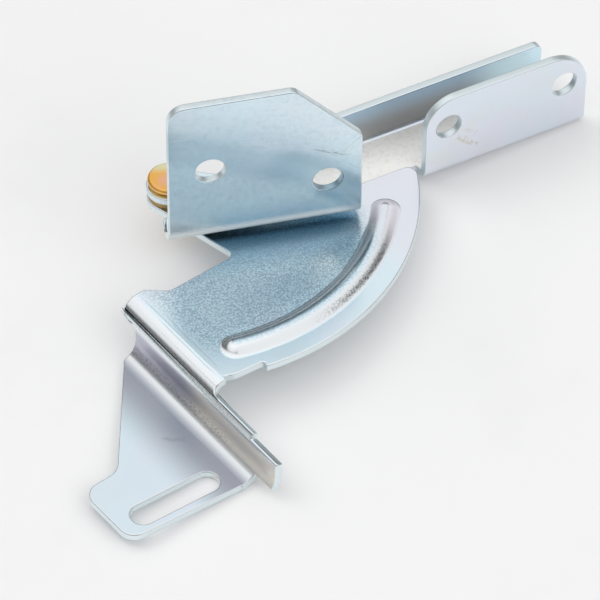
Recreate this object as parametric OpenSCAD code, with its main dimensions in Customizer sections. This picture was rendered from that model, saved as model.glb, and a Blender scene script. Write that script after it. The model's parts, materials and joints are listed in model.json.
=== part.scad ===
// Dryer door hinge. A punched sector plate carries a pressed bead, a joggled slot plate and, spot
// welded under it, a channel arm. A bracket with one upright wall swings on a rivet.
// X runs along the channel arm, Y points back and Z runs along the rivet.
// The origin lies midway between the channel arm's two screw holes, on the face they open to.

/* [Sheet] */
// Thickness of the steel sheet of all three pressings
sheet_t = 2; // [1.4:0.1:2.6]
// Inside radius of the right-angled folds
fold_r = 1; // [0.6:0.1:1.6]

/* [Pivot] */
// Diameter of the rivet's shank
shank_d = 6; // [4:0.2:7.4]
// How far the rivet's head stands out past the shank
head_flare = 1.9; // [1.5:0.1:2.4]
// Height of the rivet's head
head_h = 2.3; // [1.8:0.1:3]
// Gap round the shank in the swinging bracket and the washer
running_gap = 0.08; // [0.04:0.02:0.1]
// Thickness of the spacer washer
washer_t = 1.6; // [1.2:0.1:2.4]
// Width of the sector plate's sheet left round the pivot hole
pivot_rim = 2.2; // [1.8:0.1:4]
// Width of the bracket's sheet left round the pivot hole
bracket_rim = 2.3; // [1.8:0.1:4]

/* [Sector plate] */
// Radius of the sector's round edge about the pivot
sector_r = 58.5; // [54:0.5:72]
// Distance from the pivot to the sector's straight rear edge
rear_y = 17.1; // [16:0.1:18]
// Distance of the bead's middle from the sector's round edge
bead_inset = 8; // [7:0.1:9]
// Width of the pressed bead
bead_w = 7.8; // [6:0.1:9]
// Height of the pressed bead
bead_h = 1.8; // [1.2:0.1:2]

/* [Joggle] */
// Distance from the pivot to the line where the joggle's first bend starts
joggle_x = 24; // [22:0.5:28]
// How far the slot plate lies under the sector plate
joggle_drop = 12; // [11.5:0.1:16]
// Inside radius of the joggle's upper bend
upper_bend_r = 3.5; // [3:0.1:4]
// Inside radius of the joggle's lower bend
lower_bend_r = 4.8; // [3:0.1:5]

/* [Slot plate] */
// Reach of the slot plate past the start of the joggle
slot_plate_reach = 39.8; // [36:0.1:48]
// Width of the slot
slot_w = 6; // [5:0.1:6.6]
// Distance between the centres of the slot's round ends
slot_travel = 16.8; // [13:0.1:20]

/* [Channel arm] */
// Outside width of the channel
channel_w = 18.4; // [17:0.1:19]
// Height of the front flange, from the underside of the web
front_flange_h = 24.2; // [22:0.1:30]
// Height of the rear flange, from the underside of the web
rear_flange_h = 12.8; // [10:0.1:16]
// Distance between the two screw holes
arm_hole_pitch = 30.8; // [24:0.1:38]
// Diameter of the two screw holes
arm_hole_d = 6.6; // [5:0.1:8]

/* [Bracket] */
// Height of the bracket's top edge over the sector plate
bracket_top = 44.7; // [38:0.1:54]
// Distance from the pivot to the front of the upright wall
bracket_y = 17.6; // [17.5:0.1:19]
// Gap between the swinging bracket and the bead
bracket_gap = 1.2; // [0.6:0.1:2]
// Diameter of the bracket's two screw holes
bracket_hole_d = 6.9; // [5:0.1:8]
// Angle of the bracket to the channel arm
rest_angle = -14.5; // [-20:0.5:0]

/* [Hidden] */
$fn = 96;
// How far a cutting shape runs past the face it cuts
over = 1;
// A round is larger than written by this share, so that it crosses the edges it joins instead of
// only touching them
round_slack = 1 / 1500;
// How far a straight edge runs inside the round end that it touches, for the same reason
touch_inset = 0.02;

// Levels, with the top of the sector plate at zero
plate_z = -sheet_t;
web_z = -2 * sheet_t;
flange_z = washer_t;
head_z = flange_z + sheet_t;
slot_plate_z = -joggle_drop - sheet_t;

// Pivot
shank_r = shank_d / 2;
head_r = shank_r + head_flare;
washer_r = head_r;
pivot_end_r = shank_r + pivot_rim;
bracket_end_r = shank_r + bracket_rim;

// Sector plate
arm_left_angle = -66.7;
arm_right_angle = -58;
notch_y = 24.6;
notch_r = 1.4;
ear_y = 20.8;
ear_r = 2.6;
ear_drop = 3.75;
waist_y = 26.7;
neck_y = sector_r - 4.3;
nick_angle = -94.3;
nick_depth = 1.6;
corner_r = 2.5;
bead_r = sector_r - bead_inset;
bead_middle = -66;
bead_span = 66;

// Joggle, as a section that runs away from the sector plate
joggle_angle = -169.85;
upper_top_r = upper_bend_r + sheet_t;
lower_x = upper_top_r + lower_bend_r;
lower_z = lower_bend_r - joggle_drop;
free_edge_tilt = 49;
neck_r = 1.8;
tab_edge_tilt = 66;
tab_bottom_tilt = 44;
step_y = neck_y + 15.5;
plate_y = neck_y + 19.2;
tab_y = neck_y + 25.2;

// Slot plate, with the slot a little off square to the joggle
slot_angle = -3.4;
slot_near_x = 15.9;
slot_y = plate_y - 5.75;
plate_left_y = 28.5;
lobe_r = 4;

// Channel arm
channel_back = 1.7;
rear_face_y = -channel_back;
front_face_y = rear_face_y - channel_w;
bend_out = fold_r + sheet_t;
flange_gap = 1.9;
front_x = sqrt(sector_r * sector_r - front_face_y * front_face_y) + flange_gap;
arm_hole_edge = 6.1;
arm_end_x = front_x + arm_hole_pitch + 2 * arm_hole_edge;
arm_hole_z = web_z + 15.35;
flange_corner_r = 8;
web_end_x = arm_end_x - 2.7;
web_start_x = 11;
rear_start_x = 30;
tongue_margin = 3;
tongue_y = -36;

// Bracket, in its own frame with X along the upright wall; the foot is a little wider than the wall
bracket_left = -3.5;
foot_left = bracket_left - 0.4;
bracket_front_y = -bracket_y;
bracket_back_y = bracket_front_y + sheet_t;
bracket_reach = bead_r - bead_w / 2 - bracket_gap;
bracket_right = sqrt(bracket_reach * bracket_reach - bracket_y * bracket_y);
bracket_slope_x = bracket_right - 15.8;
bracket_slope_z = bracket_top - 17.1;
bracket_hole_left = [bracket_left + 9.8, flange_z + 22.2];
bracket_hole_right = [bracket_right - 8.1, flange_z + 13.4];

// Middle of the arm's hole pattern, seen from the pivot
origin_at = [front_x + arm_hole_edge + arm_hole_pitch / 2, front_face_y, arm_hole_z];

function unit(v) = v / norm(v);
function polar(r, angle) = r * [cos(angle), sin(angle)];
function turned(p, angle) =
    [p[0] * cos(angle) - p[1] * sin(angle), p[0] * sin(angle) + p[1] * cos(angle)];
// A point of the hinge's own frame, seen in the frame whose Y runs along the joggle
function from_arm(p) = turned(p, -joggle_angle);
// Where the tangents from point p touch a circle of radius r about the pivot
function tangent_point(p, r, side) = polar(r, atan2(p[1], p[0]) + side * acos(r / norm(p)));

function with_radius(p, r) = [p[0], p[1], r];

// What lies between corner p and a round of radius r that touches the edges to its neighbours a and b
module corner_nib(a, p, b, r) {
    to_a = unit(a - p);
    to_b = unit(b - p);
    half = acos(to_a * to_b) / 2;
    centre = p + unit(to_a + to_b) * r / sin(half);
    reach = r / tan(half);
    outward = 1 + over / r;
    translate(centre) difference() {
        polygon([for (q = [centre, p + to_a * reach, p, p + to_b * reach]) (q - centre) * outward]);
        circle(r * (1 + round_slack));
    }
}

// A flat shape from corners given as [x, y, radius]: a nib is cut from each corner that points outwards
// and fills each corner that points inwards
module outline(corners) {
    n = len(corners);
    points = [for (c = corners) [c[0], c[1]]];
    before = [for (i = [0:n - 1]) points[(i + n - 1) % n]];
    after = [for (i = [0:n - 1]) points[(i + 1) % n]];
    way = sign([for (i = [0:n - 1]) cross(points[i], after[i])] * [for (p = points) 1]);
    turns = [for (i = [0:n - 1]) way * cross(points[i] - before[i], after[i] - points[i])];
    difference() {
        union() {
            polygon(points);
            for (i = [0:n - 1]) if (corners[i][2] > 0 && turns[i] < 0)
                corner_nib(before[i], points[i], after[i], corners[i][2]);
        }
        for (i = [0:n - 1]) if (corners[i][2] > 0 && turns[i] > 0)
            corner_nib(before[i], points[i], after[i], corners[i][2]);
    }
}

// A wedge that keeps the part of a bend between two angles from the X axis
module wedge(r, from, to) {
    middle = (from + to) / 2;
    polygon([[0, 0], polar(r, from), polar(r, middle), polar(r, to)]);
}

// A quarter, or less, of a bend in section
module bend(inside_r, from, to) {
    intersection() {
        difference() {
            circle(inside_r + sheet_t);
            circle(inside_r);
        }
        wedge(2 * (inside_r + sheet_t), from, to);
    }
}

// Height profile of the bead: a round crown that runs out in a fillet on each side
module bead_form() {
    half_w = bead_w / 2;
    tilt = 2 * atan(bead_h / half_w);
    sum_r = half_w / sin(tilt);
    crown_r = sum_r * 0.66;
    fillet_r = sum_r - crown_r;
    crown_x = crown_r * sin(tilt);
    fillet_z = fillet_r * (1 - cos(tilt));
    depth = 3 * sheet_t;
    intersection() {
        translate([0, bead_h - crown_r]) circle(crown_r);
        translate([-crown_x, fillet_z]) square([2 * crown_x, crown_r]);
    }
    translate([-crown_x, -depth]) square([2 * crown_x, depth + fillet_z]);
    for (side = [-1, 1]) {
        difference() {
            translate([side > 0 ? crown_x : -half_w, -depth]) square([half_w - crown_x, depth + fillet_z]);
            translate([side * half_w, fillet_r]) circle(fillet_r);
        }
    }
}

// The bead's wall, pressed up out of the sheet at its full thickness
module bead_wall() {
    difference() {
        bead_form();
        translate([0, -sheet_t]) bead_form();
        translate([-bead_w, -4 * sheet_t]) square([2 * bead_w, sheet_t]);
    }
}

// Sweeps a section along the first half of the bead, from its round end to just past its middle
module half_bead() {
    translate([bead_r, 0]) rotate(180) rotate_extrude(angle = 180) {
        intersection() {
            children();
            translate([0, -8 * sheet_t]) square([bead_w, 16 * sheet_t]);
        }
    }
    rotate_extrude(angle = bead_span / 2 + 2) translate([bead_r, 0]) children();
}

module along_bead() {
    rotate(bead_middle - joggle_angle) {
        rotate(-bead_span / 2) half_bead() children();
        mirror([0, 1, 0]) rotate(-bead_span / 2) half_bead() children();
    }
}

// The flat of the sector plate, from the pivot to the start of the joggle
module sector_outline() {
    left_angle = arm_left_angle - joggle_angle;
    left_touch = polar(pivot_end_r - touch_inset, left_angle - 90);
    left_way = polar(1, left_angle);
    left_run = (notch_y - left_touch[1]) / left_way[1];
    right_touch = polar(pivot_end_r - touch_inset, arm_right_angle + 90);
    right_way = polar(1, arm_right_angle);
    right_run = (-rear_y - right_touch[1]) / right_way[1];
    corner_y = rear_y + corner_r;
    corner_at = [sqrt(pow(sector_r - corner_r, 2) - corner_y * corner_y), -corner_y];
    corner_angle = atan2(corner_at[1], corner_at[0]);
    nick_at = nick_angle - joggle_angle;
    far_r = 2 * sector_r;
    difference() {
        intersection() {
            circle(sector_r, $fn = 360);
            outline([
                with_radius(left_touch, 0),
                with_radius(left_touch + left_way * left_run, notch_r),
                [joggle_x - 6, notch_y, 3],
                [joggle_x - 1.5, ear_y, 1.5],
                [joggle_x, ear_y, 0],
                [joggle_x, neck_y, 0],
                with_radius(polar(sector_r - nick_depth, nick_at), 0.6),
                with_radius(polar(far_r, nick_at), 0),
                with_radius(polar(far_r, nick_at + 40), 0),
                with_radius(from_arm([far_r, -rear_y]), 0),
                with_radius(from_arm(right_touch + right_way * right_run), 0),
                with_radius(from_arm(right_touch), 0),
                [0, 0, 0]
            ]);
        }
        rotate(-joggle_angle) translate(corner_at) rear_corner_nib(corner_angle);
    }
    circle(pivot_end_r);
}

// What lies outside the round between the sector's arc and its straight rear edge
module rear_corner_nib(arc_side) {
    reach = 2 * corner_r;
    difference() {
        polygon([[0, 0], polar(reach, arc_side), [reach, reach], [0, reach]]);
        circle(corner_r * (1 + round_slack));
    }
}

// The joggle in section: upper bend, short wall and lower bend
module joggle_section(upper_from, lower_to) {
    translate([0, -upper_top_r]) bend(upper_bend_r, 0, 90 - upper_from);
    translate([upper_bend_r, lower_z]) square([sheet_t, -upper_top_r - lower_z]);
    translate([lower_x, lower_z]) bend(lower_bend_r, 180, 180 + lower_to);
}

// One stretch of the joggle, in the frame whose Y runs along its bends
module joggle_run(from_y, to_y, upper_from, lower_to) {
    translate([joggle_x, to_y, 0]) rotate([90, 0, 0]) linear_extrude(to_y - from_y)
        joggle_section(upper_from, lower_to);
}

// The joggle's left end seen along X: the ear over the waist
module ear_cut() {
    translate([joggle_x - over, 0, 0]) rotate([90, 0, 90]) linear_extrude(lower_x + 2 * over)
        outline([
            [waist_y, -2 * joggle_drop, 0],
            [waist_y, -ear_drop, 1],
            [ear_y, -ear_drop, ear_r],
            [ear_y, over, 0],
            [ear_y - 2 * over, over, 0],
            [ear_y - 2 * over, -2 * joggle_drop, 0]
        ]);
    translate([joggle_x, 0, slot_plate_z - over]) linear_extrude(lower_bend_r)
        polygon([
            [lower_x - 2.4, ear_y],
            [lower_x - 2.4, plate_left_y - 3],
            [lower_x, plate_left_y],
            [lower_x + over, plate_left_y + 1.25 * over],
            [lower_x + over, ear_y]
        ]);
}

// Concave round where the neck's edge turns into the free edge, left by a drill square to the bend
module neck_round() {
    free_edge = 90 - free_edge_tilt;
    drill_at = free_edge + asin(neck_r / upper_top_r);
    translate([joggle_x, neck_y, -upper_top_r]) difference() {
        translate([0, neck_r, 0]) rotate([90, 0, 0]) linear_extrude(neck_r + over)
            bend(upper_bend_r, free_edge - 1, drill_at);
        translate([0, neck_r, 0]) rotate([0, 90 - drill_at, 0]) cylinder(r = neck_r, h = 2 * upper_top_r);
    }
}

module joggle() {
    difference() {
        union() {
            neck_round();
            joggle_run(ear_y, neck_y, 0, 90);
            joggle_run(neck_y, step_y, free_edge_tilt, 90);
            joggle_run(step_y, plate_y, tab_edge_tilt, 90);
            joggle_run(plate_y, tab_y, tab_edge_tilt, tab_bottom_tilt);
        }
        ear_cut();
    }
}

module slot_plate_outline() {
    foot_x = lower_x;
    outline([
        [foot_x, plate_left_y, 0],
        [30, 53, 5],
        [slot_plate_reach, 53, lobe_r],
        [slot_plate_reach - 0.3, plate_y - 2.4, lobe_r],
        [foot_x, plate_y - 0.1, 0]
    ]);
}

module slot_plate() {
    difference() {
        translate([joggle_x, 0, slot_plate_z]) linear_extrude(sheet_t) slot_plate_outline();
        translate([joggle_x + slot_near_x, slot_y, slot_plate_z - over]) rotate(slot_angle) slot();
    }
}

module slot() {
    for (x = [0, slot_travel]) translate([x, 0, 0]) cylinder(d = slot_w, h = sheet_t + 2 * over);
    translate([0, -slot_w / 2, 0]) cube([slot_travel, slot_w, sheet_t + 2 * over]);
}

// The whole pressing, turned so that the joggle takes its angle to the channel arm
module sector_plate() {
    color([0.72, 0.79, 0.84]) rotate(joggle_angle) {
        difference() {
            translate([0, 0, plate_z]) linear_extrude(sheet_t) sector_outline();
            translate([0, 0, plate_z - over]) cylinder(r = shank_r, h = sheet_t + 2 * over);
            along_bead() translate([-bead_w / 2, plate_z - over]) square([bead_w, sheet_t + 2 * over]);
        }
        along_bead() bead_wall();
        joggle();
        slot_plate();
    }
}

// The channel in section, looking along the arm: only the web and one flange at a time
module flange_section(face_y, way, height) {
    translate([face_y - way * bend_out, web_z + bend_out])
        bend(fold_r, way > 0 ? -90 : 180, way > 0 ? 0 : 270);
    translate([way > 0 ? face_y - sheet_t : face_y, web_z + bend_out]) square([sheet_t, height - bend_out]);
}

module along_arm(from_x, to_x) {
    translate([from_x, 0, 0]) rotate([90, 0, 90]) linear_extrude(to_x - from_x) children();
}

// Web of the channel, with the tongue that is spot welded under the sector plate
module web() {
    rear_line = rear_face_y - bend_out;
    front_line = front_face_y + bend_out;
    relief_y = front_line + 0.9;
    translate([0, 0, web_z]) linear_extrude(sheet_t) {
        outline([
            [web_start_x, rear_line, 2],
            [web_start_x, front_line - 2, 3],
            [web_start_x + 6, front_line - 2, 0],
            [web_start_x + 6, relief_y, 0],
            [front_x, relief_y, 0],
            [front_x, front_line, 0],
            [web_end_x, front_line, 0],
            [web_end_x, rear_line, 0]
        ]);
        intersection() {
            circle(sector_r - tongue_margin);
            outline([
                [web_start_x + 6, relief_y, 0],
                [web_start_x + 6, tongue_y, 4],
                [sector_r, tongue_y, 0],
                [sector_r, relief_y, 0]
            ]);
        }
    }
}

module front_flange() {
    top_z = web_z + front_flange_h;
    intersection() {
        along_arm(front_x, arm_end_x) flange_section(front_face_y, -1, front_flange_h);
        translate([0, front_face_y + bend_out + over, 0]) rotate([90, 0, 0])
            linear_extrude(bend_out + 2 * over) outline([
                [front_x, web_z - over, 0],
                [arm_end_x, web_z - over, 0],
                [arm_end_x, top_z, flange_corner_r + 2],
                [front_x, top_z, flange_corner_r]
            ]);
    }
}

module rear_flange() {
    top_z = web_z + rear_flange_h;
    intersection() {
        along_arm(rear_start_x, web_end_x) flange_section(rear_face_y, 1, rear_flange_h);
        translate([0, rear_face_y + over, 0]) rotate([90, 0, 0])
            linear_extrude(bend_out + 2 * over) outline([
                [rear_start_x, web_z - over, 0],
                [web_end_x, web_z - over, 0],
                [web_end_x, top_z, 2],
                [rear_start_x, top_z, 4]
            ]);
    }
}

module arm_holes() {
    for (x = [0, arm_hole_pitch])
        translate([front_x + arm_hole_edge + x, front_face_y + sheet_t + over, arm_hole_z])
            rotate([90, 0, 0]) cylinder(d = arm_hole_d, h = sheet_t + 2 * over);
}

module channel_arm() {
    color([0.82, 0.83, 0.85]) difference() {
        union() {
            web();
            front_flange();
            rear_flange();
        }
        arm_holes();
    }
}

// The bracket's foot, which lies on the washer and turns on the rivet
module bracket_foot() {
    bend_line = bracket_front_y + bend_out;
    shoulder = [bracket_right, bend_line + 2.2];
    touch = tangent_point(shoulder, bracket_end_r - touch_inset, 1);
    difference() {
        translate([0, 0, flange_z]) linear_extrude(sheet_t) {
            outline([
                [foot_left, bend_line, 0],
                [bracket_right, bend_line, 0],
                with_radius(shoulder, 1.5),
                with_radius(touch, 0),
                [0, 0, 0],
                [0.6, bend_line + 4.4, 1.5],
                [foot_left, bend_line + 4.4, 2]
            ]);
            circle(bracket_end_r);
        }
        translate([0, 0, flange_z - over]) cylinder(r = shank_r + running_gap, h = sheet_t + 2 * over);
    }
}

module bracket_wall() {
    bend_z = flange_z + bend_out;
    intersection() {
        translate([foot_left, 0, 0]) rotate([90, 0, 90]) linear_extrude(bracket_right - foot_left) {
            translate([bracket_front_y + bend_out, bend_z]) bend(fold_r, 180, 270);
            translate([bracket_front_y, bend_z]) square([sheet_t, bracket_top - bend_z]);
        }
        translate([0, bracket_front_y + bend_out + over, 0]) rotate([90, 0, 0])
            linear_extrude(bend_out + 2 * over) outline([
                [foot_left, flange_z - over, 0],
                [bracket_right, flange_z - over, 0],
                [bracket_right, bracket_slope_z, 3],
                [bracket_slope_x, bracket_top, 3],
                [bracket_left, bracket_top, 4.4],
                [bracket_left, bend_z + 1, 0],
                [foot_left, flange_z + sheet_t / 2, 0]
            ]);
    }
}

module bracket_holes() {
    for (at = [bracket_hole_left, bracket_hole_right])
        translate([at[0], bracket_back_y + over, at[1]])
            rotate([90, 0, 0]) cylinder(d = bracket_hole_d, h = sheet_t + 2 * over);
}

module pivot_bracket() {
    color([0.66, 0.77, 0.83]) rotate(rest_angle) difference() {
        union() {
            bracket_foot();
            bracket_wall();
        }
        bracket_holes();
    }
}

// Rivet with a flat, bevelled and undercut head above and a spread tail below
module pivot_rivet() {
    bevel = 0.45;
    undercut = 0.8;
    tail_h = 1.5;
    tail_r = head_r - 0.4;
    head_top = head_z + head_h;
    color([0.93, 0.68, 0.3]) rotate_extrude() polygon([
        [0, plate_z - tail_h],
        [tail_r - 1, plate_z - tail_h],
        [tail_r, plate_z - tail_h / 2],
        [tail_r, plate_z],
        [shank_r, plate_z],
        [shank_r, head_z],
        [head_r - undercut, head_z],
        [head_r, head_z + head_h / 2],
        [head_r, head_top - bevel],
        [head_r - bevel, head_top],
        [0, head_top]
    ]);
}

module spacer_washer() {
    color([0.72, 0.55, 0.3]) difference() {
        cylinder(r = washer_r, h = washer_t);
        translate([0, 0, -over]) cylinder(r = shank_r + running_gap, h = washer_t + 2 * over);
    }
}

module placed() {
    translate(-origin_at) children();
}

placed() sector_plate();
placed() channel_arm();
placed() pivot_bracket();
placed() pivot_rivet();
placed() spacer_washer();
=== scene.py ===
# %% [markdown]
# # A dryer door hinge in zinc plated steel
#
# The hinge is three steel pressings, a rivet and a washer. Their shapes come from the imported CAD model, which is
# loaded as a fixed frame. What is left for Blender is the photograph's camera, the light of a small product studio,
# and the finish of each piece. On bare metal the finish is nearly all reflection, so the room round the object is
# planned as carefully as the materials.

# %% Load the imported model
import json
import math

import bpy
from mathutils import Matrix, Vector


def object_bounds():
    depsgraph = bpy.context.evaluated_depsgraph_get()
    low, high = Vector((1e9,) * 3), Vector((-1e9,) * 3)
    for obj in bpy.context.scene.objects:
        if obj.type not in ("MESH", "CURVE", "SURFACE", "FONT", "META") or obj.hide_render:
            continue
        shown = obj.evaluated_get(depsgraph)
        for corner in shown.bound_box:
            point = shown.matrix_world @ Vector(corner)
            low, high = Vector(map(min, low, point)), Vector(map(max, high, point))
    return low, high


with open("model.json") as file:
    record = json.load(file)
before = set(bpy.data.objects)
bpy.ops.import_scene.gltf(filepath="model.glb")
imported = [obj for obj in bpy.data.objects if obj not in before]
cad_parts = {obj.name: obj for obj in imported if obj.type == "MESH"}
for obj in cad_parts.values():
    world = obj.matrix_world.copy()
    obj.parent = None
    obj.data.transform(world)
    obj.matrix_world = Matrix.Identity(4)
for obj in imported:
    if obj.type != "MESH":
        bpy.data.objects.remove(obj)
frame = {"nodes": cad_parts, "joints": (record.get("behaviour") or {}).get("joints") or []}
cad_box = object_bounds()
for name, node in frame["nodes"].items():
    print(name, "has", len(node.data.polygons), "faces")

# %% [markdown]
# ## Places on the hinge
#
# Most of what the photograph shows is easiest to place from the rivet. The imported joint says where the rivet's axis
# is, so no number has to be repeated. The joggle, the pair of bends that leads down to the slot plate, has a
# direction of its own, and marks that follow the bends are placed along it.

# %% The pivot and the joggle's two directions
MM = 0.001
SHEET = 2.0 * MM
JOGGLE_ANGLE = math.radians(-169.85)
JOGGLE_START = 24.0 * MM
JOGGLE_RUN = 10.3 * MM

pivot_joint = frame["joints"][0]
pivot = Vector(pivot_joint["pos_m"])
across_joggle = Vector((math.cos(JOGGLE_ANGLE), math.sin(JOGGLE_ANGLE), 0.0))
along_joggle = Vector((-math.sin(JOGGLE_ANGLE), math.cos(JOGGLE_ANGLE), 0.0))


def from_pivot(x, y, z=0.0):
    """A point given in millimetres from the pivot, with the top of the sector plate at z = 0."""
    return pivot + Vector((x, y, z)) * MM


print("pivot at", [round(v, 5) for v in pivot])

# %% [markdown]
# ## The camera
#
# The photograph was taken with a long lens from about 47 degrees above the plate. A camera can be placed by eye, but
# here its angles were fitted to straight edges of the hinge, so they are simply set: the direction that it looks in,
# its small roll, its distance, and how far the pivot lies from the middle of the picture.

# %% Set up the camera
PHOTO_PIXELS = 600
PIXELS_PER_MM = 4.3
FOCAL_PIXELS = 5000.0
SENSOR_WIDTH = 36.0
CAMERA_ELEVATION = 0.8209214
CAMERA_AZIMUTH = 0.4844065
CAMERA_ROLL = -0.0074196
PIVOT_RIGHT_OF_MIDDLE = (168.786 - 300.0) / PIXELS_PER_MM * MM
PIVOT_ABOVE_MIDDLE = (300.0 - 194.292) / PIXELS_PER_MM * MM

camera_distance = FOCAL_PIXELS / PIXELS_PER_MM * MM
turn_to_row = Matrix.Rotation(-CAMERA_AZIMUTH, 3, "Z")
forward = turn_to_row @ Vector((0.0, math.cos(CAMERA_ELEVATION), -math.sin(CAMERA_ELEVATION)))
level_right = turn_to_row @ Vector((1.0, 0.0, 0.0))
level_up = level_right.cross(forward)
right = math.cos(CAMERA_ROLL) * level_right - math.sin(CAMERA_ROLL) * level_up
up = math.sin(CAMERA_ROLL) * level_right + math.cos(CAMERA_ROLL) * level_up

camera_data = bpy.data.cameras.new("photo_camera")
camera_data.sensor_width = SENSOR_WIDTH
camera_data.lens = FOCAL_PIXELS / PHOTO_PIXELS * SENSOR_WIDTH
camera_data.clip_start = 0.05
camera_data.clip_end = 20.0
camera = bpy.data.objects.new("photo_camera", camera_data)
bpy.context.scene.collection.objects.link(camera)
camera_place = pivot - PIVOT_RIGHT_OF_MIDDLE * right - PIVOT_ABOVE_MIDDLE * up - camera_distance * forward
camera.matrix_world = Matrix((right, up, -forward)).transposed().to_4x4()
camera.location = camera_place
bpy.context.scene.camera = camera
print("camera stands", round(camera_distance, 3), "m away at", [round(v, 3) for v in camera_place])

# %% [markdown]
# ## The table
#
# Left to itself the hinge doesn't lie flat. It stands on the inner edge of the slot plate and tips over until the far
# end of the channel arm touches the table, which is why the photograph has a tight shadow in those two places and a
# soft one under the slot plate's outer end. So the table is tilted instead of the hinge: it is turned about the
# joggle's lower bend until it meets the arm.

# %% Find the plane that the hinge stands on
STAND_CLEARANCE = 3.0 * MM

hinge_points = [v.co.copy() for node in frame["nodes"].values() for v in node.data.vertices]
lowest = min(p.z for p in hinge_points)
stand_edge = from_pivot(0, 0) + across_joggle * (JOGGLE_START + JOGGLE_RUN)
stand_edge.z = lowest
table_tilt = min(
    math.atan2(p.z - lowest, reach)
    for p in hinge_points
    for reach in [(stand_edge - p).dot(across_joggle)]
    if reach > STAND_CLEARANCE
)
table_normal = Matrix.Rotation(table_tilt, 3, along_joggle) @ Vector((0.0, 0.0, 1.0))
print("the table leans by", round(math.degrees(table_tilt), 2), "degrees")

# %% [markdown]
# ## Helpers for shader nodes
#
# A material is a graph, and a graph that is written out call by call is hard to read. Two helpers keep it short: one
# adds a node and sets its values, the other starts a node group with named inputs and outputs.

# %% Node helpers
def add(tree, kind, inputs=None, **settings):
    """Adds a node, sets its own settings, and links or sets each input by name or number."""
    node = tree.nodes.new(kind)
    for name, value in settings.items():
        setattr(node, name, value)
    for name, value in (inputs or {}).items():
        if isinstance(value, bpy.types.NodeSocket):
            tree.links.new(value, node.inputs[name])
        else:
            node.inputs[name].default_value = value
    return node


SOCKETS = {"float": "NodeSocketFloat", "color": "NodeSocketColor", "vector": "NodeSocketVector"}


def new_group(name, inputs, outputs):
    """Starts a shader node group; inputs are (name, kind, default) and outputs are (name, kind)."""
    group = bpy.data.node_groups.new(name, "ShaderNodeTree")
    for label, kind, default in inputs:
        socket = group.interface.new_socket(label, in_out="INPUT", socket_type=SOCKETS[kind])
        socket.default_value = default
    for label, kind in outputs:
        group.interface.new_socket(label, in_out="OUTPUT", socket_type=SOCKETS[kind])
    return group, group.nodes.new("NodeGroupInput"), group.nodes.new("NodeGroupOutput")


def add_group(tree, group, inputs):
    """Places a node group in a material with its own values."""
    node = tree.nodes.new("ShaderNodeGroup")
    node.node_tree = group
    for name, value in inputs.items():
        if isinstance(value, bpy.types.NodeSocket):
            tree.links.new(value, node.inputs[name])
        else:
            node.inputs[name].default_value = value
    return node


def mix(tree, factor, first, second, blend="MIX"):
    """Mixes two colours."""
    node = add(tree, "ShaderNodeMix", data_type="RGBA", blend_type=blend, clamp_factor=True)
    for socket, value in ((node.inputs[0], factor), (node.inputs[6], first), (node.inputs[7], second)):
        if isinstance(value, bpy.types.NodeSocket):
            tree.links.new(value, socket)
        else:
            socket.default_value = value
    return node.outputs[2]


def calc(tree, operation, first, second=0.0, third=0.0):
    """One step of arithmetic between values or sockets."""
    return add(tree, "ShaderNodeMath", {0: first, 1: second, 2: third}, operation=operation).outputs[0]


def ramp(tree, value, low, high, from_low=0.0, from_high=1.0, curve="SMOOTHSTEP"):
    """Maps a value from one range to another, held inside the new range."""
    node = add(
        tree,
        "ShaderNodeMapRange",
        {"Value": value, "From Min": from_low, "From Max": from_high, "To Min": low, "To Max": high},
        interpolation_type=curve,
    )
    return node.outputs[0]


# %% [markdown]
# ## The room
#
# Zinc shows what is round it: the flat plates mirror the room behind the hinge, the joggle's bends sweep from there
# over the ceiling down to the table, and the upright bracket looks down at the table in front. Instead of walls, the
# world gets a brightness for each direction: dim low down, where a studio has its stands and dark corners, bright
# overhead, where its white ceiling is, with a white screen in front to the right. That screen is what the plates see
# twice, by way of the bracket, and what the bead's outer flank shows. The wall on the right darkens downwards, which
# leaves the foot of the same flank dark at its upper end.

# %% World brightness by direction
DIM = 0.15
BRIGHT = 0.95
OVERHEAD = 1.08
SCREEN = 0.95
SCREEN_WAY = Vector((0.60, -0.36, 0.71))
RIGHT_WALL = 0.9
BELOW = 0.88
LEAN_BACK = 0.08
LEAN_LEFT = -0.16

world = bpy.data.worlds.new("studio_room")
bpy.context.scene.world = world
world.use_nodes = True
sky = world.node_tree
sky.nodes.clear()
direction = add(sky, "ShaderNodeTexCoord").outputs["Generated"]
turned = add(
    sky, "ShaderNodeMapping", {"Vector": direction, "Rotation": (0.0, 0.0, CAMERA_AZIMUTH)}, vector_type="POINT"
)
split = add(sky, "ShaderNodeSeparateXYZ", {0: turned.outputs[0]})
height = split.outputs["Z"]
leaning = add(sky, "ShaderNodeVectorMath", {0: turned.outputs[0], 1: (LEAN_LEFT, LEAN_BACK, 1.0)}, operation="DOT_PRODUCT")
leaning_height = leaning.outputs["Value"]
ceiling = ramp(sky, leaning_height, DIM, BRIGHT, 0.50, 0.74)
overhead = ramp(sky, leaning_height, 0.0, OVERHEAD - BRIGHT, 0.82, 0.98)
towards = add(sky, "ShaderNodeVectorMath", {0: turned.outputs[0], 1: tuple(SCREEN_WAY)}, operation="DOT_PRODUCT")
screen = ramp(sky, towards.outputs["Value"], 0.0, SCREEN, 0.79, 0.95)
right_wall = ramp(sky, split.outputs["X"], 0.0, RIGHT_WALL, 0.30, 0.50)
right_wall = calc(sky, "MULTIPLY", right_wall, ramp(sky, height, 0.0, 1.0, 0.15, 0.75))
room = calc(sky, "MAXIMUM", calc(sky, "ADD", ceiling, overhead), calc(sky, "MAXIMUM", screen, right_wall))
strength = calc(sky, "MAXIMUM", room, ramp(sky, height, BELOW, 0.0, -0.02, 0.02))
background = add(sky, "ShaderNodeBackground", {"Color": (1.0, 1.0, 1.0, 1.0), "Strength": strength})
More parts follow.
